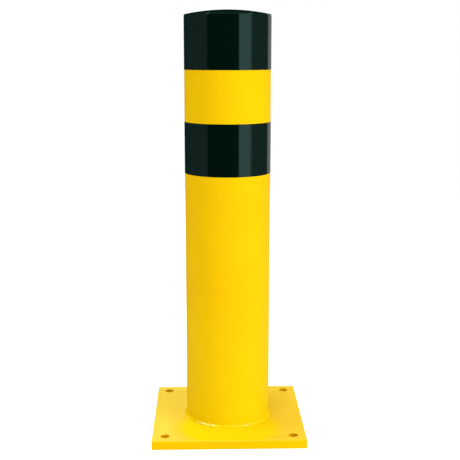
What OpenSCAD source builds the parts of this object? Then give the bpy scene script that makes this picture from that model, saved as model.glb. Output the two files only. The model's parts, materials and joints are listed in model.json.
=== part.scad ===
// Bolt-down steel safety bollard: a capped steel tube welded on a square base plate,
// coated yellow, with a black head and a black warning band.
// The origin is the centre of the base plate's underside, and +Z points up the post.

/* [Post tube] */
// Outside diameter of the tube
post_od = 168.3; // [139.7:0.1:193.7]
// Wall thickness of the tube
post_wall = 4.5; // [4:0.5:8]
// Length of the tube
post_length = 800; // [500:10:1200]

/* [Base plate] */
// Side of the square plate
plate_side = 300; // [290:5:400]
// Thickness of the plate
plate_thickness = 18; // [10:1:25]
// Distance between the anchor holes, centre to centre
anchor_spacing = 250; // [230:5:260]
// Diameter of the anchor holes
anchor_hole_d = 18; // [12:1:22]
// Diameter of the vent and drain hole under the tube
vent_hole_d = 30; // [12:1:50]
// Chamfer that breaks the plate's cut edges
edge_break = 1; // [0.5:0.1:2]

/* [Domed cap] */
// Thickness of the pressed cap
cap_thickness = 4; // [3:0.5:5]
// How far the dome rises from its edge to its crown
dome_rise = 9; // [6:0.5:20]
// Radius of the knuckle between the dome and the cap's rim
knuckle_radius = 2.5; // [1.5:0.5:5]
// Height of the straight rim under the knuckle
cap_rim = 2; // [2:0.5:6]

/* [Welds] */
// Leg of the fillet weld round the foot of the tube
fillet_leg = 4.5; // [4:0.5:9]
// How far the fillet weld's face bulges
fillet_bulge = 0.5; // [0.4:0.1:1.2]
// Depth of the V groove between the tube and the cap
groove_depth = 1.5; // [1:0.25:2]
// How far the ground cap weld stands proud
cap_weld_proud = 0.2; // [0.1:0.05:0.3]

/* [Black bands] */
// Height of each black band, and of the yellow between them
band_height = 100; // [60:5:120]
// Thickness of the band film
film_thickness = 0.3; // [0.2:0.05:0.5]
// Length of each band's overlap at the back
film_overlap = 15; // [8:1:30]

/* [Hidden] */

signal_yellow = "#F7B80A";
gloss_black = "#101815";

post_r = post_od / 2;
bore_r = post_r - post_wall;
tube_foot_z = plate_thickness;
tube_end_z = tube_foot_z + post_length;
black_foot_z = tube_end_z - band_height;
lower_band_top_z = black_foot_z - band_height;

// The dome is a sphere through its crown and its edge, and the knuckle touches it and the rim.
dome_radius = (pow(post_r, 2) + pow(dome_rise, 2)) / (2 * dome_rise);
knuckle_x = post_r - knuckle_radius;
knuckle_z = tube_end_z + cap_rim;
dome_z = knuckle_z - sqrt(pow(dome_radius - knuckle_radius, 2) - pow(knuckle_x, 2));

past = 1; // how far a cutting tool runs past the face that it leaves
$fn = 128;

module chamfered_rectangle(width, height, chamfer) {
    x = width / 2;
    y = height / 2;
    polygon([
        [x, y - chamfer], [x - chamfer, y], [chamfer - x, y], [-x, y - chamfer],
        [-x, chamfer - y], [chamfer - x, -y], [x - chamfer, -y], [x, chamfer - y]
    ]);
}

// A square block standing on z = 0, with every edge chamfered.
module chamfered_block(side, height, chamfer) {
    intersection() {
        linear_extrude(height)
            chamfered_rectangle(side, side, chamfer);
        intersection_for(turn = [0, 90])
            rotate([90, 0, turn])
                linear_extrude(side, center = true)
                    translate([0, height / 2])
                        chamfered_rectangle(side, height, chamfer);
    }
}

// Laser-cut plate with four anchor holes, and the vent that the hollow post needs when it is coated.
module base_plate() {
    drill_length = plate_thickness + 2 * past;
    color(signal_yellow)
        difference() {
            chamfered_block(plate_side, plate_thickness, edge_break);
            for (x = [-1, 1], y = [-1, 1])
                translate([x * anchor_spacing / 2, y * anchor_spacing / 2, -past])
                    cylinder(d = anchor_hole_d, h = drill_length);
            translate([0, 0, -past])
                cylinder(d = vent_hole_d, h = drill_length);
        }
}

// Steel tube, square at its foot, with its outer edge bevelled at the top for the cap weld.
module post_tube() {
    color(signal_yellow)
        rotate_extrude()
            polygon([
                [bore_r, tube_foot_z], [post_r, tube_foot_z],
                [post_r, tube_end_z - groove_depth], [post_r - groove_depth, tube_end_z],
                [bore_r, tube_end_z]
            ]);
}

// Half of the cap's section: a shallow dome, a rounded knuckle and a short bevelled rim.
module cap_section() {
    lean = atan2(knuckle_z - dome_z, knuckle_x);
    reach = 2 * knuckle_radius;
    difference() {
        intersection() {
            translate([0, tube_end_z])
                square([post_r, dome_radius]);
            translate([0, dome_z])
                circle(r = dome_radius);
        }
        // The hollow under the dome, as wide as the tube's bore.
        intersection() {
            translate([-past, tube_end_z - past])
                square([bore_r + past, dome_radius]);
            translate([0, dome_z])
                circle(r = dome_radius - cap_thickness);
        }
        // The sharp corner outside the knuckle.
        difference() {
            polygon([
                [knuckle_x, knuckle_z], [knuckle_x + reach, knuckle_z],
                [knuckle_x + reach, knuckle_z + reach],
                [knuckle_x + reach * cos(lean), knuckle_z + reach * sin(lean)]
            ]);
            translate([knuckle_x, knuckle_z])
                circle(r = knuckle_radius);
        }
        // The bevel of the weld groove.
        polygon([
            [post_r - groove_depth - past, tube_end_z - past],
            [post_r + past, tube_end_z - past],
            [post_r + past, tube_end_z + groove_depth + past]
        ]);
    }
}

module domed_cap() {
    color(gloss_black)
        rotate_extrude()
            cap_section();
}

// Half of a fillet weld's section: two equal legs and a face that bulges in an arc.
module fillet_section(leg, bulge) {
    chord = leg * sqrt(2);
    face_r = (pow(chord / 2, 2) + pow(bulge, 2)) / (2 * bulge);
    centre = leg / 2 - (face_r - bulge) / sqrt(2);
    intersection() {
        square(leg);
        translate([centre, centre])
            circle(r = face_r);
    }
}

module base_weld() {
    color(signal_yellow)
        rotate_extrude()
            translate([post_r, tube_foot_z])
                fillet_section(fillet_leg, fillet_bulge);
}

// The bead that fills the V groove under the cap, ground nearly flush.
module cap_weld() {
    color(gloss_black)
        rotate_extrude()
            polygon([
                [post_r - groove_depth, tube_end_z], [post_r, tube_end_z - groove_depth],
                [post_r + cap_weld_proud, tube_end_z - groove_depth / 2],
                [post_r + cap_weld_proud, tube_end_z + groove_depth / 2],
                [post_r, tube_end_z + groove_depth]
            ]);
}

// One turn of self-adhesive film round the tube, lapped over itself at the back (+Y).
module film_band(low_z, high_z) {
    half_lap = film_overlap / 2;
    lap_reach = post_r + 3 * film_thickness;
    color(gloss_black)
        translate([0, 0, low_z])
            linear_extrude(high_z - low_z)
                difference() {
                    union() {
                        circle(r = post_r + film_thickness);
                        intersection() {
                            circle(r = post_r + 2 * film_thickness);
                            polygon([[0, 0], [half_lap, lap_reach], [-half_lap, lap_reach]]);
                        }
                    }
                    circle(r = post_r);
                }
}

module upper_black_band() {
    film_band(black_foot_z, tube_end_z - groove_depth);
}

module lower_black_band() {
    film_band(lower_band_top_z - band_height, lower_band_top_z);
}

base_plate();
post_tube();
domed_cap();
base_weld();
cap_weld();
upper_black_band();
lower_black_band();
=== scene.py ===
import json
import math

import bpy
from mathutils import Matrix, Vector


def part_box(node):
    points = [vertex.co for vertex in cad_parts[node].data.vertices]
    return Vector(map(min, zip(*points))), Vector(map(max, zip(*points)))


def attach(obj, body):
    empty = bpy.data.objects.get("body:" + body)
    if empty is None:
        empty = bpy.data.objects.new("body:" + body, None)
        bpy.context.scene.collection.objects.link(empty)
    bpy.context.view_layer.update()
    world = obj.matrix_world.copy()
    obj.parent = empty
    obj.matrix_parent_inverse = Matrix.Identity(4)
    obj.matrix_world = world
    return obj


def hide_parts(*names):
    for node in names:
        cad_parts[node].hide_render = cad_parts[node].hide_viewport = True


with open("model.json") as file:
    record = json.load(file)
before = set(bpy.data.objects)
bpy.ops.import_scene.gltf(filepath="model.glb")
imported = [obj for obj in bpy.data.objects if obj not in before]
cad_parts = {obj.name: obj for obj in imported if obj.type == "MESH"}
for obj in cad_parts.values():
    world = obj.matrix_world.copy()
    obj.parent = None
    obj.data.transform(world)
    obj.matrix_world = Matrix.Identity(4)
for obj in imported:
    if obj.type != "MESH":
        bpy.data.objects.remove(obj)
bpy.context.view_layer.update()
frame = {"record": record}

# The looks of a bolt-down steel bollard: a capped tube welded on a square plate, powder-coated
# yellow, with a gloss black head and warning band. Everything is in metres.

MM = 0.001

# ---------------------------------------------------------------- sizes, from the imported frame

plate_low, plate_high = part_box("base_plate")
tube_low, tube_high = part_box("post_tube")
weld_low, weld_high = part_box("base_weld")
upper_low, upper_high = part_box("upper_black_band")
lower_low, lower_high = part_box("lower_black_band")
mounts = {mount["name"]: mount for mount in frame["record"]["mounts"]}
anchors = mounts["anchor_holes"]["dims"]

PLATE_SIDE = plate_high.x - plate_low.x
PLATE_T = plate_high.z
ANCHOR_R = anchors["hole_r_mm"] * MM
ANCHOR_REACH = anchors["spacing_x_mm"] * MM / 2
FOOT_Z = tube_low.z
END_Z = tube_high.z
POST_R = tube_high.x
WELD_LEG = weld_high.z - weld_low.z

# ---------------------------------------------------------------- sizes that the boxes don't give

VENT_R = 15 * MM            # radius of the vent in the plate, under the tube
PLATE_ROUNDING = 1.1 * MM   # how far the plate's edges are rounded
HOLE_ROUNDING = 0.3 * MM    # how far the rims of its holes are rounded
POST_WALL = 4.5 * MM
BORE_R = POST_R - POST_WALL
GROOVE = 1.5 * MM           # depth of the V groove between tube and cap
GROOVE_PROUD = 0.2 * MM     # how far the ground weld in it stands proud
CAP_T = 4 * MM
CAP_RIM = 2 * MM            # height of the cap's straight rim
DOME_RISE = 9 * MM
KNUCKLE_R = 2.5 * MM
WELD_BULGE = 0.5 * MM       # how far the fillet weld's face bulges
FILM_T = 0.3 * MM
FILM_OVERLAP = 15 * MM

# The fillet weld's face is an arc: its radius, how far its centre is out from the tube and up from
# the plate, and how many degrees it spreads to each side of 45.
FACE_CHORD = WELD_LEG * math.sqrt(2)
FACE_R = ((FACE_CHORD / 2) ** 2 + WELD_BULGE ** 2) / (2 * WELD_BULGE)
FACE_CENTRE = WELD_LEG / 2 - (FACE_R - WELD_BULGE) / math.sqrt(2)
FACE_SPREAD = math.degrees(math.asin(FACE_CHORD / 2 / FACE_R))

# Where each run of the fillet weld ends, in degrees round the post from +X, and over how many degrees
# before that its coat is thick.
WELD_STOPS = ((251, 32), (299, 10), (15, 8), (98, 12), (170, 9))

RIPPLES = 216               # ripples all round the fillet weld
RINGS_PER_RIPPLE = 4        # cross-sections that the mesh has for each ripple
FACE_POINTS = 10            # steps across the weld's face
RIPPLED = 0.5 * MM          # how far the ripples may stand off the plain face
LUMPED = 1.2 * MM           # how far the ripples and the lumps on them may

TURN_STEPS = 192            # sides that a turned piece has
TINY = 0.01 * MM            # what counts as the same place
BACK = 90                   # the back of the post, in degrees from +X
LAP_RAMP = 0.12             # degrees in which a film climbs over its own start
TINY_TURN = 0.01            # degrees that count as the same angle


# ---------------------------------------------------------------- modelling

def deselect_all():
    if bpy.context.object and bpy.context.object.mode != "OBJECT":
        bpy.ops.object.mode_set(mode="OBJECT")
    bpy.ops.object.select_all(action="DESELECT")


def begin(name):
    """Takes the primitive that was just added as a new piece, with its place moved into its mesh."""
    piece = bpy.context.object
    piece.name = piece.data.name = name
    bpy.ops.object.transform_apply(location=True, rotation=True, scale=True)
    return piece


def edit(piece, kind="VERT"):
    """Opens a piece in edit mode, with points, edges or faces to select."""
    deselect_all()
    piece.select_set(True)
    bpy.context.view_layer.objects.active = piece
    bpy.ops.object.mode_set(mode="EDIT")
    bpy.ops.mesh.select_mode(type=kind)


def done():
    bpy.ops.object.mode_set(mode="OBJECT")


def select_points(piece, test):
    """In edit mode, selects only the vertices whose place passes the test."""
    bpy.ops.mesh.select_all(action="DESELECT")
    bpy.ops.object.mode_set(mode="OBJECT")
    for vertex in piece.data.vertices:
        vertex.select = test(vertex.co)
    bpy.ops.object.mode_set(mode="EDIT")


def select_edges(piece, test):
    """In edit mode, selects only the edges whose two ends pass the test."""
    bpy.ops.mesh.select_all(action="DESELECT")
    bpy.ops.object.mode_set(mode="OBJECT")
    points = piece.data.vertices
    for line in piece.data.edges:
        a, b = (points[i].co for i in line.vertices)
        line.select = test(a, b)
        if line.select:
            for i in line.vertices:
                points[i].select = True
    bpy.ops.object.mode_set(mode="EDIT")


def arc(centre_x, centre_z, radius, start, stop, steps):
    """Points along an arc in the XZ plane, from one angle to another, both in degrees from +X."""
    angles = [math.radians(start + (stop - start) * i / steps) for i in range(steps + 1)]
    return [(centre_x + radius * math.cos(a), centre_z + radius * math.sin(a)) for a in angles]


def lathe(name, outline, steps=TURN_STEPS, closed=True):
    """A turned piece: its outline is drawn point by point in the XZ plane, then spun round Z."""
    deselect_all()
    x, z = outline[0]
    bpy.ops.mesh.primitive_plane_add(size=MM, location=(x, 0, z))
    piece = begin(name)
    edit(piece)
    bpy.ops.mesh.select_all(action="SELECT")
    bpy.ops.mesh.merge(type="CENTER")
    for next_x, next_z in outline[1:]:
        step = (next_x - x, 0, next_z - z)
        bpy.ops.mesh.extrude_region_move(TRANSFORM_OT_translate={"value": step})
        x, z = next_x, next_z
    if closed:
        ends = [Vector((px, 0, pz)) for px, pz in (outline[0], outline[-1])]
        select_points(piece, lambda co: min((co - end).length for end in ends) < TINY)
        bpy.ops.mesh.edge_face_add()
    bpy.ops.mesh.select_all(action="SELECT")
    bpy.ops.mesh.spin(steps=steps, angle=math.tau, center=(0, 0, 0), axis=(0, 0, 1))
    bpy.ops.mesh.select_all(action="SELECT")
    bpy.ops.mesh.remove_doubles(threshold=TINY / 2)
    bpy.ops.mesh.normals_make_consistent(inside=False)
    done()
    return piece


def smooth(piece, angle=30):
    deselect_all()
    piece.select_set(True)
    bpy.context.view_layer.objects.active = piece
    bpy.ops.object.shade_smooth_by_angle(angle=math.radians(angle))


def hand_over(piece, finish, node, angle=30):
    """Finishes a piece: its shading and material, and the CAD node that it stands for."""
    smooth(piece, angle)
    piece.data.materials.clear()
    piece.data.materials.append(finish)
    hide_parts(node)
    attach(piece, "root")


def turn_of(co):
    """A point's angle round the post, in degrees from +X."""
    return math.degrees(math.atan2(co.y, co.x)) % 360


# ---------------------------------------------------------------- node building

class Wire:
    """An output socket. Arithmetic on it adds Math nodes to its tree."""

    def __init__(self, nodes, socket):
        self.nodes = nodes
        self.socket = socket

    def maths(self, operation, a, b):
        return self.nodes.add("ShaderNodeMath", {"operation": operation}, {0: a, 1: b})["Value"]

    def __add__(self, other):
        return self.maths("ADD", self, other)

    def __radd__(self, other):
        return self.maths("ADD", other, self)

    def __sub__(self, other):
        return self.maths("SUBTRACT", self, other)

    def __rsub__(self, other):
        return self.maths("SUBTRACT", other, self)

    def __mul__(self, other):
        return self.maths("MULTIPLY", self, other)

    def __rmul__(self, other):
        return self.maths("MULTIPLY", other, self)

    def __pow__(self, other):
        return self.maths("POWER", self, other)


class Nodes:
    """One node tree under construction."""

    def __init__(self, tree):
        self.tree = tree
        tree.nodes.clear()

    def add(self, kind, settings=None, sockets=None):
        """Adds a node: its settings first, then the value or the wire of each socket."""
        node = self.tree.nodes.new(kind)
        for name, value in (settings or {}).items():
            setattr(node, name, value)
        for name, value in (sockets or {}).items():
            socket = node.inputs[name] if isinstance(name, int) else next(
                s for s in node.inputs if s.name == name and s.enabled)
            if isinstance(value, Wire):
                self.tree.links.new(value.socket, socket)
            else:
                socket.default_value = value
        return {s.name: Wire(self, s) for s in node.outputs if s.enabled}

    def absolute(self, value):
        return self.add("ShaderNodeMath", {"operation": "ABSOLUTE"}, {0: value})["Value"]

    def maximum(self, first, second):
        return self.add("ShaderNodeMath", {"operation": "MAXIMUM"}, {0: first, 1: second})["Value"]

    def bearing(self, across, ahead):
        """The angle of a direction in degrees, from ahead towards across."""
        turn = self.add("ShaderNodeMath", {"operation": "ARCTAN2"}, {0: across, 1: ahead})["Value"]
        return turn * math.degrees(1)

    def blend(self, first, second, share):
        """Mixes two colours."""
        sockets = {"Factor": share, "A": first, "B": second}
        return self.add("ShaderNodeMix", {"data_type": "RGBA"}, sockets)["Result"]

    def fade(self, value, start, stop):
        """Rises smoothly from 0 to 1 as the value goes from start to stop."""
        sockets = {"Value": value, "From Min": start, "From Max": stop}
        return self.add("ShaderNodeMapRange", {"interpolation_type": "SMOOTHSTEP"}, sockets)["Result"]

    def noise(self, place, per_metre, detail=2.0, roughness=0.5):
        """A soft random pattern from 0 to 1, with so many patches to the metre."""
        sockets = {"Vector": place, "Scale": per_metre, "Detail": detail, "Roughness": roughness}
        return self.add("ShaderNodeTexNoise", {"noise_dimensions": "3D"}, sockets)["Fac"]

    def stretched(self, place, scale):
        """The same place with each axis scaled, for a pattern that is longer one way."""
        return self.add("ShaderNodeMapping", {}, {"Vector": place, "Scale": scale})["Vector"]


class Finish(Nodes):
    """A material under construction, with the object's own coordinates at hand."""

    def __init__(self, name):
        self.material = bpy.data.materials.new(name)
        self.material.use_nodes = True
        super().__init__(self.material.node_tree)
        self.place = self.add("ShaderNodeTexCoord")["Object"]
        axes = self.add("ShaderNodeSeparateXYZ", {}, {"Vector": self.place})
        self.x, self.y, self.z = axes["X"], axes["Y"], axes["Z"]
        self.from_axis = (self.x * self.x + self.y * self.y) ** 0.5

    def surface(self, constants, colour, roughness, height):
        """Closes the material. height is in metres, and becomes the bump."""
        bump = {"Height": height, "Strength": 1.0, "Distance": 1.0}
        sockets = dict(constants)
        sockets["Normal"] = self.add("ShaderNodeBump", {}, bump)["Normal"]
        sockets["Base Color"] = colour
        sockets["Roughness"] = roughness
        shader = self.add("ShaderNodeBsdfPrincipled", {}, sockets)["BSDF"]
        self.add("ShaderNodeOutputMaterial", {}, {"Surface": shader})
        return self.material


# ---------------------------------------------------------------- finishes

YELLOW = (0.97, 0.588, 0.002, 1)
YELLOW_DEEP = (0.96, 0.56, 0.002, 1)
YELLOW_PAINTED_LIGHT = (0.98, 0.72, 0.003, 1)
YELLOW_SHEEN_AND_DUST = (0.97, 0.70, 0.072, 1)
YELLOW_THIN_AND_HIGHLIT = (0.98, 0.70, 0.03, 1)
YELLOW_PAINTED_SHADE = (0.87, 0.44, 0.002, 1)
BLACK = (0.0002, 0.0060, 0.0038, 1)
BLACK_WORN = (0.003, 0.011, 0.009, 1)
MILL_STEEL = (0.055, 0.05, 0.047, 1)
MILL_SCALE = (0.028, 0.03, 0.035, 1)
MATT_YELLOW = {"Specular IOR Level": 0.03, "Specular Tint": (1, 0.85, 0.35, 1)}
GREENISH_GLOSS = {"Specular IOR Level": 0.5, "Specular Tint": (0.53, 1.0, 0.95, 1)}


def powder(f):
    """The colour, roughness and height of plain yellow powder coat: orange peel over faint clouds."""
    clouds = f.noise(f.place, 9, detail=3)
    specks = f.noise(f.place, 900, detail=0)
    colour = f.blend(YELLOW_DEEP, YELLOW, f.fade(clouds, 0.3, 0.7))
    roughness = 0.40 + 0.08 * f.fade(clouds, 0.35, 0.65) + 0.08 * specks
    peel = f.noise(f.place, 420, detail=1) * (0.022 * MM)
    swell = f.noise(f.place, 45, detail=1) * (0.06 * MM)
    return colour, roughness, peel + swell


def plate_coat(name):
    """Coat on the plate: painted lighter in front of the tube, against the shade round the foot;
    on the rest of its top a pale painted sheen with some dust, stronger on the left as painted light;
    thin and painted lighter as a highlight on its top edges; painted darker as shade in the holes and
    underneath; and over the marks of the laser cut on its sides."""
    f = Finish(name)
    colour, roughness, height = powder(f)
    top = f.fade(f.z, PLATE_T - 0.5 * MM, PLATE_T - 0.1 * MM)
    past_side = f.maximum(f.absolute(f.x), f.absolute(f.y)) - PLATE_SIDE / 2

    # Painted light: a patch of the top in front of the tube is made lighter, against the shade round
    # the foot.
    in_front = f.y + POST_R
    from_light_patch = (f.x * f.x + in_front * in_front) ** 0.5
    outside_light_patch = f.fade(from_light_patch, 80 * MM, 120 * MM)
    colour = f.blend(colour, YELLOW_PAINTED_LIGHT, top * (1 - outside_light_patch))
    # Painted sheen and painted light: the rest of the top is paled, more on the left where more light
    # falls, and mottled like dust.
    left = f.fade(f.x, 100 * MM, -100 * MM)
    dust_and_sheen = top * outside_light_patch * (0.4 + 0.45 * left + 0.3 * f.noise(f.place, 25, detail=4))
    colour = f.blend(colour, YELLOW_SHEEN_AND_DUST, dust_and_sheen)

    # Thin coat and painted highlight: the top edges are made paler, as a line of light along them.
    near_top = f.fade(f.z, PLATE_T - 1.2 * MM, PLATE_T - 0.8 * MM)
    thin_coat_and_highlight = f.fade(past_side, -2.2 * MM, -1.0 * MM) * near_top
    colour = f.blend(colour, YELLOW_THIN_AND_HIGHLIT, thin_coat_and_highlight)
    # Painted shade: the hole walls and the underside are made a darker, deeper yellow.
    below_top = 1 - f.fade(f.z, PLATE_T - 1.6 * MM, PLATE_T - 0.6 * MM)
    lean = below_top * (1 - f.fade(past_side, -6 * MM, -4 * MM))
    colour = f.blend(colour, YELLOW_PAINTED_SHADE, lean)

    cut = f.noise(f.stretched(f.place, (1, 1, 0.06)), 700, detail=2)
    cut = cut * f.fade(past_side, -1.2 * MM, -0.6 * MM) * (1 - top)
    return f.surface(MATT_YELLOW, colour, roughness + 0.06 * dust_and_sheen, height + cut * (0.05 * MM))


def tube_coat(name):
    """Coat on the tube's outside, painted lighter towards the foot against the shade there, and bare
    mill steel in its bore.
    """
    f = Finish(name)
    colour, roughness, height = powder(f)
    # Painted light: the coat is made lighter towards the foot, against the shade that falls there.
    low = 1 - f.fade(f.z, FOOT_Z, FOOT_Z + 280 * MM)
    lowest = 1 - f.fade(f.z, FOOT_Z, FOOT_Z + 70 * MM)
    colour = f.blend(colour, YELLOW_PAINTED_LIGHT, 0.4 * low + 0.4 * lowest)
    scale = f.noise(f.stretched(f.place, (1, 1, 0.3)), 60, detail=5, roughness=0.65)
    steel = f.blend(MILL_STEEL, MILL_SCALE, f.fade(scale, 0.4, 0.6))
    inside = 1 - f.fade(f.from_axis, BORE_R + 0.5 * MM, BORE_R + 1.5 * MM)
    colour = f.blend(colour, steel, inside)
    drawn = f.noise(f.stretched(f.place, (1, 1, 0.02)), 160, detail=2)
    return f.surface(MATT_YELLOW, colour, roughness + 0.15 * inside, height + drawn * (0.02 * MM))


def weld_coat(name):
    """Coat over the fillet weld: painted lighter in front, against the shade round the foot, and thick,
    glossy and patchy where a run ends.
    """
    f = Finish(name)
    colour, roughness, height = powder(f)
    # Painted light: the front of the weld is made lighter, against the shade round the foot.
    colour = f.blend(colour, YELLOW_PAINTED_LIGHT, f.fade(f.y, 40 * MM, -40 * MM))
    turn = f.bearing(f.y, f.x)
    thick = 0.25 * f.fade(f.noise(f.place, 30, detail=3), 0.5, 0.65)
    for stop, length in WELD_STOPS:
        end = (stop + 180) % 360 - 180
        start = end - length
        thick = thick + f.fade(turn, start, start + 3) * (1 - f.fade(turn, end, end + 2))
    patchy = f.fade(f.noise(f.place, 160, detail=2), 0.3, 0.7)
    clear_coat = {"Coat Weight": thick * (0.35 + 0.65 * patchy), "Coat Roughness": 0.16}
    grit = f.noise(f.place, 650, detail=2)
    return f.surface({**MATT_YELLOW, **clear_coat}, colour, roughness, height + grit * (0.05 * MM))


def black_gloss(name, peel_height, worn):
    """Glossy black with a green cast in its reflections, scuffed a little in places."""
    f = Finish(name)
    peel = f.noise(f.place, 320, detail=1)
    swell = f.noise(f.stretched(f.place, (1, 1, 0.45)), 48, detail=2)
    wear = f.fade(f.noise(f.place, 70, detail=5, roughness=0.65), 0.55, 0.8)
    colour = f.blend(BLACK, BLACK_WORN, wear * worn)
    roughness = 0.085 + 0.03 * f.noise(f.place, 14, detail=2) + 0.05 * wear
    return f.surface(GREENISH_GLOSS, colour, roughness, peel * peel_height + swell * (0.04 * MM))


# ---------------------------------------------------------------- pieces

def base_plate():
    """The plate: a slab with rounded edges, bored four times for anchors and once for the vent."""
    deselect_all()
    middle = (0, 0, PLATE_T / 2)
    bpy.ops.mesh.primitive_cube_add(size=1, location=middle, scale=(PLATE_SIDE, PLATE_SIDE, PLATE_T))
    plate = begin("base_plate_coated")
    edit(plate, "EDGE")
    bpy.ops.mesh.select_all(action="SELECT")
    bpy.ops.mesh.bevel(offset=PLATE_ROUNDING, segments=4, profile=0.5)
    done()
    sides = (-ANCHOR_REACH, ANCHOR_REACH)
    holes = [(x, y, ANCHOR_R) for x in sides for y in sides]
    holes.append((0, 0, VENT_R))
    for x, y, radius in holes:
        bore(plate, x, y, radius)
    edit(plate, "EDGE")
    select_edges(plate, lambda a, b: any(on_rim(a, b, *hole) for hole in holes))
    bpy.ops.mesh.bevel(offset=HOLE_ROUNDING, segments=3, profile=0.5)
    done()
    return plate


def bore(plate, x, y, radius):
    """Drills a round hole right through the plate."""
    deselect_all()
    where = (x, y, PLATE_T / 2)
    bpy.ops.mesh.primitive_cylinder_add(vertices=72, radius=radius, depth=3 * PLATE_T, location=where)
    drill = begin("drill")
    deselect_all()
    plate.select_set(True)
    bpy.context.view_layer.objects.active = plate
    cut = plate.modifiers.new("hole", "BOOLEAN")
    cut.operation = "DIFFERENCE"
    cut.solver = "EXACT"
    cut.object = drill
    bpy.ops.object.modifier_apply(modifier=cut.name)
    bpy.data.objects.remove(drill)


def on_rim(a, b, x, y, radius):
    """Is this edge part of the rim of the hole at (x, y), on the plate's top or underside?"""
    round_it = all(abs(math.hypot(co.x - x, co.y - y) - radius) < 10 * TINY for co in (a, b))
    level = abs(a.z - b.z) < TINY
    on_face = min(abs(a.z), abs(a.z - PLATE_T)) < TINY
    return round_it and level and on_face


def post_tube():
    """The tube, bevelled at its top for the cap weld."""
    return lathe("post_tube_coated", [
        (BORE_R, FOOT_Z), (POST_R, FOOT_Z), (POST_R, END_Z - GROOVE),
        (POST_R - GROOVE, END_Z), (BORE_R, END_Z),
    ])


def domed_cap():
    """The pressed cap: dome, knuckle, rim, weld bevel, and the hollow underneath."""
    dome_r = (POST_R ** 2 + DOME_RISE ** 2) / (2 * DOME_RISE)
    knuckle_x = POST_R - KNUCKLE_R
    knuckle_z = END_Z + CAP_RIM
    dome_z = knuckle_z - math.sqrt((dome_r - KNUCKLE_R) ** 2 - knuckle_x ** 2)
    lean = math.degrees(math.atan2(knuckle_z - dome_z, knuckle_x))
    hollow_r = dome_r - CAP_T
    hollow_lean = math.degrees(math.acos(BORE_R / hollow_r))
    return lathe("domed_cap_coated", [
        *arc(0, dome_z, dome_r, 90, lean, 14),
        *arc(knuckle_x, knuckle_z, KNUCKLE_R, lean, 0, 6)[1:],
        (POST_R, END_Z + GROOVE), (POST_R - GROOVE, END_Z), (BORE_R, END_Z),
        *arc(0, dome_z, hollow_r, hollow_lean, 90, 10),
    ], closed=False)


def across_weld(co, slack=TINY):
    """Where a point lies across the fillet weld's face: -1 at the plate, 1 at the tube, and None when
    it is further from the plain arc of the face than the slack."""
    out = math.hypot(co.x, co.y) - POST_R - FACE_CENTRE
    up = co.z - FOOT_Z - FACE_CENTRE
    if abs(math.hypot(out, up) - FACE_R) > slack:
        return None
    return (math.degrees(math.atan2(up, out)) - 45) / FACE_SPREAD


def on_weld_face(co, slack=TINY):
    """Is this point on the fillet weld's face, away from its two edges?"""
    share = across_weld(co, slack)
    return share is not None and abs(share) < 0.9


def raise_ripples(weld):
    """Pushes out one ring of points in each ripple, and the rings beside it less."""
    pitch = 360 / (RIPPLES * RINGS_PER_RIPPLE)
    for ring, rise in ((2, 0.28 * MM), (1, 0.14 * MM), (3, 0.08 * MM)):
        def on_ring(co):
            return on_weld_face(co) and round(turn_of(co) / pitch) % RINGS_PER_RIPPLE == ring

        select_points(weld, on_ring)
        bpy.ops.transform.shrink_fatten(value=rise)


def raise_stops(weld):
    """Piles up a rounded lump in three layers where each run of weld ends."""
    for stop, _ in WELD_STOPS:
        for reach in (3.4, 2.4, 1.4):
            def on_lump(co):
                aside = abs((turn_of(co) - stop + 180) % 360 - 180)
                return aside < reach and on_weld_face(co, RIPPLED)

            select_points(weld, on_lump)
            bpy.ops.transform.shrink_fatten(value=0.2 * MM)


def bend_ripples(weld):
    """Turns the middle of the face further round than its edges, so that the ripples are curved."""
    for column in range(1, FACE_POINTS):
        share = 2 * column / FACE_POINTS - 1
        low, high = share - 0.5 / FACE_POINTS, share + 0.5 / FACE_POINTS

        def in_column(co):
            place = across_weld(co, LUMPED)
            return place is not None and low < place < high

        select_points(weld, in_column)
        trail = math.radians(1.5 * (1 - share * share))
        bpy.ops.transform.rotate(value=trail, orient_axis="Z", center_override=(0, 0, 0))


def base_weld():
    """The fillet weld: a bulging bead with curved ripples, and a lump where each run ends."""
    corner = (POST_R - TINY, FOOT_Z - TINY)
    low, high = 45 - FACE_SPREAD, 45 + FACE_SPREAD
    face = arc(POST_R + FACE_CENTRE, FOOT_Z + FACE_CENTRE, FACE_R, low, high, FACE_POINTS)
    weld = lathe("base_weld_bead", [corner, *face], steps=RIPPLES * RINGS_PER_RIPPLE)
    edit(weld)
    raise_ripples(weld)
    raise_stops(weld)
    bend_ripples(weld)
    done()
    return weld


def cap_weld():
    """The bead between cap and tube, ground nearly flush."""
    shoulder = POST_R + 0.7 * GROOVE_PROUD
    crest = POST_R + GROOVE_PROUD
    return lathe("cap_weld_ground", [
        (POST_R - GROOVE, END_Z), (POST_R, END_Z - GROOVE),
        (shoulder, END_Z - 0.7 * GROOVE), (crest, END_Z - 0.35 * GROOVE),
        (crest, END_Z + 0.35 * GROOVE), (shoulder, END_Z + 0.7 * GROOVE),
        (POST_R, END_Z + GROOVE),
    ])


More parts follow.
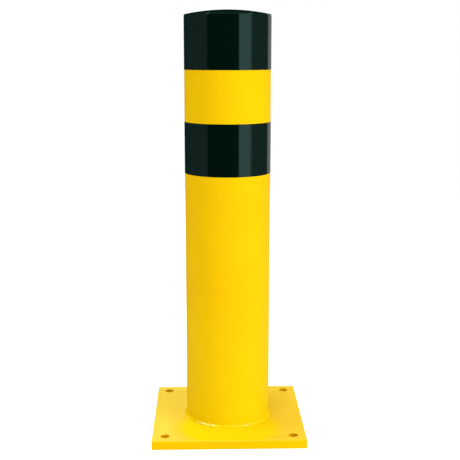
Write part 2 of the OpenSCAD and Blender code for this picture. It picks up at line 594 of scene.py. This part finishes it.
def film_band(name, low_z, high_z):
    """A turn of film with softened edges, and a second layer where its end laps over its start."""
    outer = POST_R + FILM_T
    soft = FILM_T / 3
    band = lathe(name, [
        (POST_R, low_z), (outer - soft, low_z), (outer, low_z + soft),
        (outer, high_z - soft), (outer - soft, high_z), (POST_R, high_z),
    ])
    half_lap = math.degrees(FILM_OVERLAP / POST_R) / 2
    start, stop = BACK - half_lap, BACK + half_lap
    edit(band)
    for turn in (start, start + LAP_RAMP, stop):
        bpy.ops.mesh.select_all(action="SELECT")
        across = (-math.sin(math.radians(turn)), math.cos(math.radians(turn)), 0)
        bpy.ops.mesh.bisect(plane_co=(0, 0, 0), plane_no=across)

    def in_lap(co):
        outside = math.hypot(co.x, co.y) > POST_R + TINY
        return outside and start + LAP_RAMP / 2 < turn_of(co) < stop + TINY_TURN

    select_points(band, in_lap)
    grow = (outer + FILM_T) / outer
    bpy.ops.transform.resize(value=(grow, grow, 1), center_override=(0, 0, 0))
    done()
    return band


# ---------------------------------------------------------------- stage, lights and camera

WHITE = (1, 1, 1, 1)
ROOM_GREEN = (0.38, 1, 0.95, 1)
FLOOR_PALE = (0.8, 0.8, 0.8, 1)
FLOOR_PALER = (0.82, 0.82, 0.82, 1)
FLOOR_PAINTED_SHADE = (0.03, 0.03, 0.03, 1)
FLOOR_GLOW = (0.25, 0.25, 0.25, 1)
NO_GLOW = (0, 0, 0, 1)
FLOOR_R = 3.3
AIM = Vector((0, 0, 0.45))      # what the lamps point at, halfway up the post
GLINT_DISTANCE = 2.6


def floor():
    """A plain pale disc that the bollard stands on, painted dark as shade and without glow where the
    plate covers it. It shows white, lights the bollard only dimly, and isn't seen in reflections."""
    deselect_all()
    bpy.ops.mesh.primitive_circle_add(vertices=128, radius=FLOOR_R, fill_type="NGON")
    disc = begin("floor")
    f = Finish("pale_floor")
    reach = f.maximum(f.absolute(f.x), f.absolute(f.y))
    clear = f.fade(reach, PLATE_SIDE / 2 - 4 * MM, PLATE_SIDE / 2)
    # Painted shade: the floor under the plate is made dark.
    tone = f.blend(FLOOR_PAINTED_SHADE, f.blend(FLOOR_PALE, FLOOR_PALER, f.noise(f.place, 3)), clear)
    seen = f.add("ShaderNodeLightPath")["Is Camera Ray"]
    glow = f.blend(NO_GLOW, f.blend(FLOOR_GLOW, WHITE, seen), clear)
    constants = {"Specular IOR Level": 0.1, "Emission Color": glow, "Emission Strength": 1.0}
    disc.data.materials.append(f.surface(constants, tone, 0.9, 0.0))
    disc.visible_glossy = False


def softbox(name, azimuth, elevation, distance, width, height, brightness):
    """A lamp aimed at the post, unseen in reflections. Azimuth is from the front towards +X, and both
    angles are in degrees."""
    a, e = math.radians(azimuth), math.radians(elevation)
    away = Vector((math.sin(a) * math.cos(e), -math.cos(a) * math.cos(e), math.sin(e)))
    lamp = bpy.data.lights.new(name, "AREA")
    lamp.shape = "RECTANGLE"
    lamp.size = width
    lamp.size_y = height
    lamp.energy = brightness * math.pi * width * height
    holder = bpy.data.objects.new(name, lamp)
    bpy.context.scene.collection.objects.link(holder)
    holder.location = AIM + away * distance
    holder.rotation_euler = away.to_track_quat("Z", "Y").to_euler()
    holder.visible_camera = False
    holder.visible_glossy = False
    return holder


def glint(name, azimuth, elevation, width, height, brightness, pieces):
    """A lamp that lights nothing, and only shows as a reflection in the given pieces."""
    lamp = softbox(name, azimuth, elevation, GLINT_DISTANCE, width, height, brightness)
    lamp.visible_glossy = True
    lamp.visible_diffuse = False
    lit = bpy.data.collections.new(name)
    for piece in pieces:
        lit.objects.link(piece)
    lamp.light_linking.receiver_collection = lit


def surroundings():
    """White all round for the camera. What lights the bollard and shows in it is a dim room, darker and
    greener behind, with a dark card in front, a bright window to the right of the card, a light strip
    behind on the right and, in reflections only, a pale ceiling. Azimuths are in degrees from the front
    towards +X."""
    world = bpy.data.worlds.new("studio")
    bpy.context.scene.world = world
    world.use_nodes = True
    n = Nodes(world.node_tree)
    to = n.add("ShaderNodeSeparateXYZ", {}, {"Vector": n.add("ShaderNodeTexCoord")["Generated"]})
    turn = n.bearing(to["X"], 0 - to["Y"])
    aside = n.absolute(turn)

    def panel(left, left_soft, right, right_soft, top):
        """1 from one azimuth to another, fading out over a few degrees and above a height."""
        across = n.fade(turn, left - left_soft, left) * (1 - n.fade(turn, right, right + right_soft))
        return across * (1 - n.fade(to["Z"], top, top + 0.15))

    card = panel(left=-55, left_soft=1.5, right=28, right_soft=1.5, top=0.45)
    window = panel(left=29.5, left_soft=1.5, right=56, right_soft=13, top=0.5)
    strip = panel(left=132, left_soft=3, right=156, right_soft=4, top=0.3)
    room = 0.012 + 0.23 * (1 - n.fade(aside, 60, 170))
    level = room * (1 - card) + 0.98 * window + 0.53 * strip
    tint = n.blend(WHITE, ROOM_GREEN, n.fade(aside, 70, 160) * (1 - strip))
    ray = n.add("ShaderNodeLightPath")
    ceiling = 0.3 * n.fade(to["Z"], 0.75, 1.0) * ray["Is Glossy Ray"]
    seen = ray["Is Camera Ray"]
    strength = (level + ceiling) * (1 - seen) + seen
    sockets = {"Color": n.blend(tint, WHITE, seen), "Strength": strength}
    light = n.add("ShaderNodeBackground", {}, sockets)["Background"]
    n.add("ShaderNodeOutputWorld", {}, {"Surface": light})


def lamps(weld, black_pieces):
    """Three softboxes that light everything, and four glints: two in the weld, two in the black."""
    softbox("overhead", azimuth=-125, elevation=74, distance=2.6, width=2.6, height=2.6, brightness=3.8)
    softbox("front", azimuth=-15, elevation=20, distance=2.8, width=1.6, height=1.2, brightness=3.5)
    softbox("right", azimuth=60, elevation=20, distance=2.8, width=1.6, height=1.2, brightness=5.9)
    glint("left_foot_glint", -66, 59, width=1.6, height=0.6, brightness=19, pieces=[weld])
    glint("right_foot_glint", 74, 55, width=1.2, height=0.6, brightness=22, pieces=[weld])
    glint("left_edge_glint", -72, 56, width=0.35, height=0.35, brightness=10, pieces=black_pieces)
    glint("right_edge_glint", 80, 54, width=0.35, height=0.35, brightness=10, pieces=black_pieces)


def camera():
    """A long lens in front, a little lower than the post's head, looking slightly down and right."""
    lens = bpy.data.cameras.new("camera")
    lens.sensor_width = 36
    lens.lens = 74
    eye = bpy.data.objects.new("camera", lens)
    bpy.context.scene.collection.objects.link(eye)
    eye.location = (-0.0433, -1.8575, 0.7537)
    down, right = 10.74, 1.48
    eye.rotation_euler = (math.radians(90 - down), 0, math.radians(-right))
    bpy.context.scene.camera = eye


# ---------------------------------------------------------------- the bollard

black_paint = black_gloss("black_gloss_coat", peel_height=0.012 * MM, worn=0.5)
black_film = black_gloss("black_gloss_film", peel_height=0.006 * MM, worn=0.3)

cap = domed_cap()
weld = base_weld()
ring = cap_weld()
upper_film = film_band("upper_black_film", upper_low.z, upper_high.z)
lower_film = film_band("lower_black_film", lower_low.z, lower_high.z)
hand_over(base_plate(), plate_coat("yellow_plate_coat"), "base_plate")
hand_over(post_tube(), tube_coat("yellow_tube_coat"), "post_tube")
hand_over(cap, black_paint, "domed_cap")
hand_over(weld, weld_coat("yellow_weld_coat"), "base_weld", angle=60)
hand_over(ring, black_paint, "cap_weld")
hand_over(upper_film, black_film, "upper_black_band")
hand_over(lower_film, black_film, "lower_black_band")

floor()
surroundings()
lamps(weld, [cap, ring, upper_film, lower_film])
camera()
bpy.context.scene.view_settings.view_transform = "Standard"
